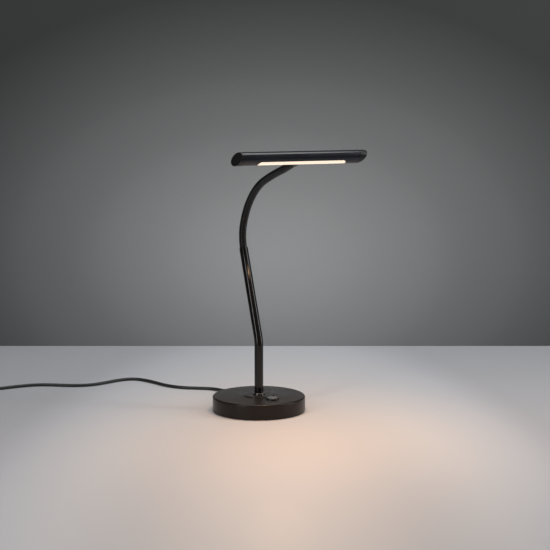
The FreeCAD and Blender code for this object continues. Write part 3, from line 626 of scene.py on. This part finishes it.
def makeFootCover():
    cover = addBar("foot_cover", (0, 0, foot["rim"]), (0, 0, foot["height"]), foot["radius"], 192)
    pickFaces(cover, lambda centre, normal: normal.z > 0.9)
    bpy.ops.mesh.inset(thickness=(foot["radius"] - foot["bossRadius"]) * mm)
    bpy.ops.mesh.extrude_region_move(TRANSFORM_OT_translate={"value": (0, 0, foot["bossHeight"] * mm)})
    done(cover)
    pickEdges(cover, ringAt(foot["bossRadius"], foot["height"] + foot["bossHeight"]))
    bevelPicked(cover, foot["bossEdge"], 4)
    pickEdges(cover, ringAt(foot["bossRadius"], foot["height"]))
    bevelPicked(cover, foot["bossFillet"], 3)
    pickEdges(cover, ringAt(foot["radius"], foot["height"]))
    bevelPicked(cover, foot["edge"], 10)
    pickFaces(cover, lambda centre, normal: normal.z < -0.9)
    bpy.ops.mesh.delete(type="FACE")
    done(cover)
    modify(cover, "SOLIDIFY", thickness=foot["wall"] * mm, offset=-1, use_even_offset=True)
    pickEdges(cover, ringAt(foot["radius"], foot["rim"]))
    bevelPicked(cover, foot["rimEdge"], 3)
    low, high = foot["cut"]
    cutAway(cover, addBar("cutter", (0, 0, low), (0, 0, high), foot["stemHole"], 48))
    x, y = foot["buttonPlace"]
    cutAway(cover, addBar("cutter", (x, y, low), (x, y, high), foot["buttonHole"], 64))
    inner, outer = foot["outletCut"]
    height = foot["outletHeight"]
    cutAway(cover, addBar("cutter", (0, inner, height), (0, outer, height), foot["outletRadius"], 48))
    smooth(cover)
    finishPiece(cover, bronzePaint, "base", ["base_cover"])
    print("foot cover done")


makeFootCover()


# Push switch

switch = {
    "place": foot["buttonPlace"],
    "bezelRadius": 9.5,
    "bezelHeight": 2.2,
    "recessRadius": 8.2,
    "recessFloor": 0.2,
    "capRadius": 7.9,
    "capLow": 24.9,
    "capHigh": 26.5,
    "bezelEdge": 0.45,
    "capEdge": 0.5,
    "capLip": 0.9,
    "dishSlope": 2.2,
    "dish": 0.25,
}


def makeSwitch():
    x, y = switch["place"]
    low = foot["height"]
    top = low + switch["bezelHeight"]
    bezel = addBar("switch_bezel", (x, y, low), (x, y, top), switch["bezelRadius"])
    pickFaces(bezel, lambda centre, normal: normal.z > 0.9)
    bpy.ops.mesh.inset(thickness=(switch["bezelRadius"] - switch["recessRadius"]) * mm)
    drop = switch["recessFloor"] - switch["bezelHeight"]
    bpy.ops.mesh.extrude_region_move(TRANSFORM_OT_translate={"value": (0, 0, drop * mm)})
    done(bezel)
    pickEdges(bezel, lambda p: abs(p.z - top) < near)
    bevelPicked(bezel, switch["bezelEdge"], 4)
    smooth(bezel)
    finishPiece(bezel, bezelPaint, "base", ["button_bezel"])

    high = switch["capHigh"]
    cap = addBar("switch_button", (x, y, switch["capLow"]), (x, y, high), switch["capRadius"])
    pickEdges(cap, lambda p: abs(p.z - high) < near)
    bevelPicked(cap, switch["capEdge"], 5)
    pickFaces(cap, lambda centre, normal: normal.z > 0.99)
    bpy.ops.mesh.inset(thickness=switch["capLip"] * mm)
    bpy.ops.mesh.inset(thickness=switch["dishSlope"] * mm)
    bpy.ops.transform.translate(value=(0, 0, -switch["dish"] * mm))
    done(cap)
    smooth(cap, 40)
    finishPiece(cap, buttonPlasticAndPaintedSheen, "button", ["button_cap"])
    print("switch done")


makeSwitch()


# Stem

stem = {
    "radius": 6.65,
    "wall": 1.4,
    "foot": 24.8,
    "bendHeight": 107.0,
    "bendRadius": 50.0,
    "lean": 21.0,
    "leanRun": 145.2,
    "topEdge": 0.3,
    "vertices": 64,
    "bendSteps": 14,
}
leanWay = Vector((0, math.sin(math.radians(stem["lean"])), math.cos(math.radians(stem["lean"]))))
stemTop = Vector((0, 0, stem["bendHeight"])) + leanWay * stem["leanRun"]


def makeStem():
    tangent = stem["bendRadius"] * math.tan(math.radians(stem["lean"] / 2))
    bendLow = stem["bendHeight"] - tangent
    deselect()
    bpy.ops.mesh.primitive_circle_add(
        vertices=stem["vertices"],
        radius=stem["radius"] * mm,
        location=(0, 0, stem["foot"] * mm),
    )
    tube = bpy.context.object
    tube.name = "stem"
    applyTransform(tube)
    edit(tube, "EDGE")
    bpy.ops.mesh.select_all(action="SELECT")
    rise = (bendLow - stem["foot"]) * mm
    bpy.ops.mesh.extrude_region_move(TRANSFORM_OT_translate={"value": (0, 0, rise)})
    bpy.ops.mesh.spin(
        steps=stem["bendSteps"],
        angle=math.radians(stem["lean"]),
        center=(0, stem["bendRadius"] * mm, bendLow * mm),
        axis=(1, 0, 0),
    )
    bpy.ops.mesh.extrude_region_move(
        TRANSFORM_OT_translate={"value": leanWay * (stem["leanRun"] - tangent) * mm}
    )
    bpy.ops.mesh.select_all(action="SELECT")
    bpy.ops.mesh.remove_doubles(threshold=1e-6)
    bpy.ops.mesh.normals_make_consistent(inside=False)
    done(tube)
    top = max((corner.co.dot(leanWay) for corner in tube.data.vertices)) / mm
    print("stem ends", round(top, 2), "should be", round(stemTop.dot(leanWay), 2))
    modify(tube, "SOLIDIFY", thickness=stem["wall"] * mm, offset=-1, use_even_offset=True)
    pickEdges(tube, lambda p: abs((p - stemTop).dot(leanWay)) < near)
    bevelPicked(tube, stem["topEdge"], 3)
    smooth(tube)
    finishPiece(tube, stemPaint, "base", ["stem_tube"])
    print("stem done")


makeStem()


# Neck: one wound hose, cut in the middle of each stiff length and bent across each joint

neck = {
    # length and turn of each arc, from the stem up
    "arcs": ((34.0, 38.7), (40.0, 21.6), (66.3, 30.0), (54.2, 5.2), (43.7, -6.8)),
    "lengths": 13,
    "crest": 5.7,
    "depth": 0.85,
    "turns": 78,
    "profilePoints": 18,
    "stepsPerTurn": 40,
    "lineSteps": 476,
    "bendMargin": 1.5,
}
neckLength = sum(length for length, turn in neck["arcs"])


def neckAt(distance):
    # a point of the hose's middle line and its lean from upright, towards the front
    place = stemTop.copy()
    angle = -stem["lean"]
    left = distance
    for length, turn in neck["arcs"]:
        run = min(left, length)
        bend = math.radians(turn) / length
        start = math.radians(angle)
        end = start + bend * run
        forward = (math.cos(end) - math.cos(start)) / bend
        upward = (math.sin(end) - math.sin(start)) / bend
        place += Vector((0, forward, upward))
        angle = math.degrees(end)
        left -= run
        if left <= 0:
            break
    return place, angle


def wayAt(angle):
    return Vector((0, -math.sin(math.radians(angle)), math.cos(math.radians(angle))))


def makeHoseStraight():
    # half a round wire, wound upwards
    pitch = neckLength / neck["turns"]
    root = neck["crest"] - neck["depth"]
    deselect()
    bpy.ops.mesh.primitive_circle_add(
        vertices=neck["profilePoints"],
        radius=pitch / 2 * mm,
        location=(root * mm, 0, -pitch / 2 * mm),
        rotation=(math.radians(90), 0, 0),
    )
    wire = bpy.context.object
    wire.name = "hose"
    applyTransform(wire)
    mesh = edit(wire, "VERT")
    for corner in mesh.verts:
        offset = corner.co.x - root * mm
        corner.co.x = root * mm + offset * neck["depth"] / (pitch / 2)
        corner.select_set(corner.co.x < (root - 0.01) * mm)
    bmesh.update_edit_mesh(wire.data)
    bpy.ops.mesh.delete(type="VERT")
    done(wire)
    modify(
        wire,
        "SCREW",
        axis="Z",
        angle=2 * math.pi,
        screw_offset=pitch * mm,
        iterations=neck["turns"] + 2,
        steps=neck["stepsPerTurn"],
        render_steps=neck["stepsPerTurn"],
        use_merge_vertices=True,
        merge_threshold=1e-6,
    )
    edit(wire, "VERT")
    bpy.ops.mesh.select_all(action="SELECT")
    bpy.ops.mesh.remove_doubles(threshold=2e-6)
    bpy.ops.mesh.normals_make_consistent(inside=False)
    done(wire)
    return wire


def makeNeckLine():
    curve = bpy.data.curves.new("neck line", "CURVE")
    curve.dimensions = "3D"
    spline = curve.splines.new("POLY")
    spline.points.add(neck["lineSteps"])
    for index, point in enumerate(spline.points):
        place, angle = neckAt(neckLength * index / neck["lineSteps"])
        point.co = (*(place * mm), 1)
    line = bpy.data.objects.new("neck line", curve)
    scene.collection.objects.link(line)
    return line


def makeNeck():
    hose = makeHoseStraight()
    line = makeNeckLine()
    length = neckLength / neck["lengths"]
    joints = neck["lengths"] - 1
    for joint in range(1, joints + 1):
        low = 0.0 if joint == 1 else (joint - 0.5) * length
        high = neckLength if joint == joints else (joint + 0.5) * length
        activate(hose)
        bpy.ops.object.duplicate()
        part = bpy.context.object
        part.name = f"neck_hose_{joint:02d}"
        bisect(part, (0, 0, high), (0, 0, 1), True)
        bisect(part, (0, 0, low), (0, 0, -1), True)
        modify(part, "CURVE", object=line, deform_axis="POS_Z")
        smooth(part, 45)
        part.data.materials.clear()
        part.data.materials.append(hosePlating)
        start = neckAt((joint - 0.5) * length + neck["bendMargin"])[0]
        end = neckAt((joint + 0.5) * length - neck["bendMargin"])[0]
        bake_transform(part)
        covered = [f"neck_segment_{joint + 1:02d}"]
        if joint == 1:
            covered.append("neck_segment_01")
        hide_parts(*covered)
    bpy.data.objects.remove(hose)
    bpy.data.objects.remove(line)
    print("neck done")


makeNeck()


# Lamp head

head = {
    "radius": 9.5,
    "wall": 1.0,
    "halfLength": 97.4,
    "faceSlants": (29.0, 42.0),
    "seamSlants": (9.6, 27.4),
    "faceRoll": 42.0,
    "seam": 90.5,
    "windowAngle": 155.0,
    "windowLength": 139.0,
    "windowWidth": 11.2,
    "windowOffset": 2.0,
    "windowCut": (3.0, 16.0),
    "fitting": 9.0,
    "seamGap": 0.12,
    "capEdge": 0.5,
    "blank": 130.0,  # half the length of the bar that each piece is cut from
    "vertices": 128,
}
neckEnd, neckEndAngle = neckAt(neckLength)
headCentre = neckEnd + wayAt(neckEndAngle) * (head["fitting"] + head["radius"])
windowWay = wayAt(head["windowAngle"])
windowSide = windowWay.cross(sideWay)


def slantNormal(slant, side):
    return (sideWay - wayAt(head["faceRoll"]) * math.tan(math.radians(slant))).normalized() * side


def makeBlank(name, ends="NGON"):
    reach = sideWay * head["blank"]
    return addBar(name, headCentre - reach, headCentre + reach, head["radius"], head["vertices"], ends=ends)


def makeHeadTube():
    tube = makeBlank("head_shell", "NOTHING")
    for side, slant in zip((-1, 1), head["seamSlants"]):
        seam = headCentre + sideWay * head["seam"] * side
        bisect(tube, seam, slantNormal(slant, side), False)
    modify(tube, "SOLIDIFY", thickness=head["wall"] * mm, offset=-1, use_even_offset=True)
    half = (head["windowLength"] - head["windowWidth"]) / 2
    middle = headCentre + sideWay * head["windowOffset"]
    inner, outer = (middle + windowWay * depth for depth in head["windowCut"])
    cutter = addBar("cutter", inner, outer, head["windowWidth"] / 2, 48)
    mesh = edit(cutter, "VERT")
    for corner in mesh.verts:
        across = (corner.co / mm - middle).dot(sideWay)
        if abs(across) > 1e-4:
            corner.co += sideWay * math.copysign(half, across) * mm
    bmesh.update_edit_mesh(cutter.data)
    done(cutter)
    cutAway(tube, cutter)
    smooth(tube)
    finishPiece(tube, headPaint, "head", ["head_tube"])
    print("head tube done")


def makeEndCap(name, side, faceSlant, seamSlant):
    cap = makeBlank(name)
    face = headCentre + sideWay * head["halfLength"] * side
    seam = headCentre + sideWay * (head["seam"] + head["seamGap"]) * side
    faceNormal = slantNormal(faceSlant, side)
    bisect(cap, face, faceNormal, True)
    bisect(cap, seam, slantNormal(seamSlant, side) * -1, True)
    pickEdges(cap, lambda p: abs((p - face).dot(faceNormal)) < 0.02)
    bevelPicked(cap, head["capEdge"], 5)
    smooth(cap)
    finishPiece(cap, capPaint, "head", [name.replace("head_end", "end_cap")])


makeHeadTube()
for name, side, faceSlant, seamSlant in zip(
    ("head_end_left", "head_end_right"), (-1, 1), head["faceSlants"], head["seamSlants"]
):
    makeEndCap(name, side, faceSlant, seamSlant)
print("end caps done")


# Stage and light

stage = {
    "tableSize": 14,
    "wallSize": 10,
    "tableBehind": 0.545,
    "tablePaintedPoolCentre": (-0.6, 0.03),  # centre of the painted pool of lamp light, ahead and right of the lamp, in metres
    # the table's colours are a painted pool of warm lamp light: peach under the head, greyer and darker
    # towards the edges
    "tablePaintedPoolSpan": (0.41, 1.4, 1.0),
    "tablePaintedPoolStops": (
        (0.0, (0.48, 0.485, 0.51)),
        (0.15, (0.58, 0.585, 0.615)),
        (0.36, (0.67, 0.655, 0.66)),
        (0.64, (0.69, 0.64, 0.62)),
        (0.9, (0.84, 0.74, 0.68)),
        (1.0, (0.92, 0.79, 0.71)),
    ),
    # the backdrop's shades are painted light: bright behind the lamp, darker towards the edges
    "wallPaintedLightSpan": (0.74, 1.0, 0.5),
    "wallPaintedLightStops": ((0.0, 0.065), (0.33, 0.165), (0.55, 0.26), (0.77, 0.375), (1.0, 0.455)),
    "wallTint": (0.975, 1.0, 1.0),
    "wallPaintedLightCentre": (0.01, 0.17),  # centre of the painted light on the backdrop, right of the lamp and up
}
viewTurn = math.radians(camera["azimuth"])
ahead = Vector((math.sin(viewTurn), math.cos(viewTurn), 0))
right = Vector((math.cos(viewTurn), -math.sin(viewTurn), 0))


def paintedLightFalloff(tree, place, centre, size, stops):
    # painted light falloff: a value that falls with distance from a centre, turned to face the view
    around = tree.add("ShaderNodeMapping", vector_type="TEXTURE")
    tree.put(around, {"Vector": place, "Location": centre, "Rotation": (0, 0, -viewTurn), "Scale": size})
    ball = tree.add("ShaderNodeTexGradient", gradient_type="SPHERICAL")
    tree.put(ball, {"Vector": around.outputs[0]})
    ramp = tree.add("ShaderNodeValToRGB")
    ramp.color_ramp.interpolation = "CARDINAL"
    steps = ramp.color_ramp.elements
    while len(steps) < len(stops):
        steps.new(0.5)
    for step, (where, color) in zip(steps, stops):
        step.position = where
        step.color = (*color, 1)
    tree.put(ramp, {0: ball.outputs[1]})
    return ramp.outputs[0]


def makeStage():
    deselect()
    bpy.ops.mesh.primitive_plane_add(size=stage["tableSize"], location=(0, 0, 0))
    table = bpy.context.object
    table.name = "table"
    material, tree, shader, place = newMaterial("table top with painted lamp pool")
    along, across = stage["tablePaintedPoolCentre"]
    brightest = ahead * along + right * across
    # painted pool of lamp light: the table's colour falls from warm and bright under the head to darker grey
    top = paintedLightFalloff(tree, place, brightest, stage["tablePaintedPoolSpan"], stage["tablePaintedPoolStops"])
    tree.put(shader, {"Base Color": top, "Roughness": 0.6, "Specular IOR Level": 0.25})
    table.data.materials.append(material)

    bpy.ops.mesh.primitive_plane_add(
        size=stage["wallSize"],
        location=ahead * stage["tableBehind"] + upWay * stage["wallSize"] / 2,
        rotation=(math.radians(90), 0, -viewTurn),
    )
    wall = bpy.context.object
    wall.name = "backdrop"
    applyTransform(wall)
    material, tree, shader, place = newMaterial("backdrop paper with painted light")
    across, height = stage["wallPaintedLightCentre"]
    brightest = ahead * stage["tableBehind"] + right * across + upWay * height
    stops = [(where, [tint * shade for tint in stage["wallTint"]]) for where, shade in stage["wallPaintedLightStops"]]
    # painted light on the backdrop: its colour falls from bright behind the lamp to dark at the edges
    paper = paintedLightFalloff(tree, place, brightest, stage["wallPaintedLightSpan"], stops)
    tree.put(shader, {"Base Color": paper, "Roughness": 0.9, "Specular IOR Level": 0.0})
    clear = tree.add("ShaderNodeBsdfTransparent")  # from behind, the wall is seen through
    side = tree.add("ShaderNodeNewGeometry")
    mix = tree.add("ShaderNodeMixShader")
    tree.put(mix, {0: side.outputs["Backfacing"], 1: shader.outputs[0], 2: clear.outputs[0]})
    output = [node for node in tree.tree.nodes if node.type == "OUTPUT_MATERIAL"][0]
    tree.put(output, {0: mix.outputs[0]})
    wall.data.materials.append(material)


light = {
    # size and power in metres and watts; a place is right of the lamp, ahead and up
    "overheadSize": (1.3, 1.1),
    "overheadPower": 17,
    "overheadPlace": (0.2, 0.12, 1.7),  # along the lamp's own x, y and z
    "sideSize": (0.2, 1.4),
    "sidePower": 8,
    "leftPlace": (-1.03, -1.22, 0.7),
    "rightPlace": (1.3, -0.15, 0.7),
    "sideTarget": (0, -0.03, 0.22),
    "glowSize": (0.13, 0.009),
    "glowPower": 0.6,
    "glowColor": (1.0, 0.58, 0.28),
    "glowSpread": 155,
    "glowGap": 1.0,  # millimetres off the head's surface
    "skyColor": (0.48, 0.5, 0.56, 1),
    "skyStrength": 0.12,
}


def addLamp(name, place, target, size, power, color=(1, 1, 1), spread=180):
    data = bpy.data.lights.new(name, "AREA")
    data.shape = "RECTANGLE"
    data.size, data.size_y = size
    data.energy = power
    data.color = color
    data.spread = math.radians(spread)
    lamp = bpy.data.objects.new(name, data)
    scene.collection.objects.link(lamp)
    lamp.location = place
    lamp.rotation_euler = (Vector(place) - Vector(target)).to_track_quat("Z", "Y").to_euler()
    return lamp


def makeLight():
    above = Vector(light["overheadPlace"])
    addLamp("overhead softbox", above, above - upWay, light["overheadSize"], light["overheadPower"])
    middle = Vector(light["sideTarget"])
    for side in ("left", "right"):
        across, along, height = light[side + "Place"]
        place = right * across + ahead * along + upWay * height
        addLamp(side + " softbox", place, middle, light["sideSize"], light["sidePower"])
    out = windowWay * (head["radius"] + light["glowGap"])
    windowFace = (headCentre + sideWay * head["windowOffset"] + out) * mm
    glow = addLamp(
        "window glow",
        windowFace,
        windowFace + windowWay,
        light["glowSize"],
        light["glowPower"],
        light["glowColor"],
        light["glowSpread"],
    )
    glow.rotation_euler = Matrix((sideWay, -windowSide, -windowWay)).transposed().to_euler()
    glow.visible_camera = False
    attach(glow, "head")
    world = bpy.data.worlds.new("studio")
    scene.world = world
    world.use_nodes = True
    sky = world.node_tree.nodes["Background"]
    sky.inputs["Color"].default_value = light["skyColor"]
    sky.inputs["Strength"].default_value = light["skyStrength"]
    scene.view_settings.view_transform = "Standard"
    print("light set")


makeStage()
makeLight()
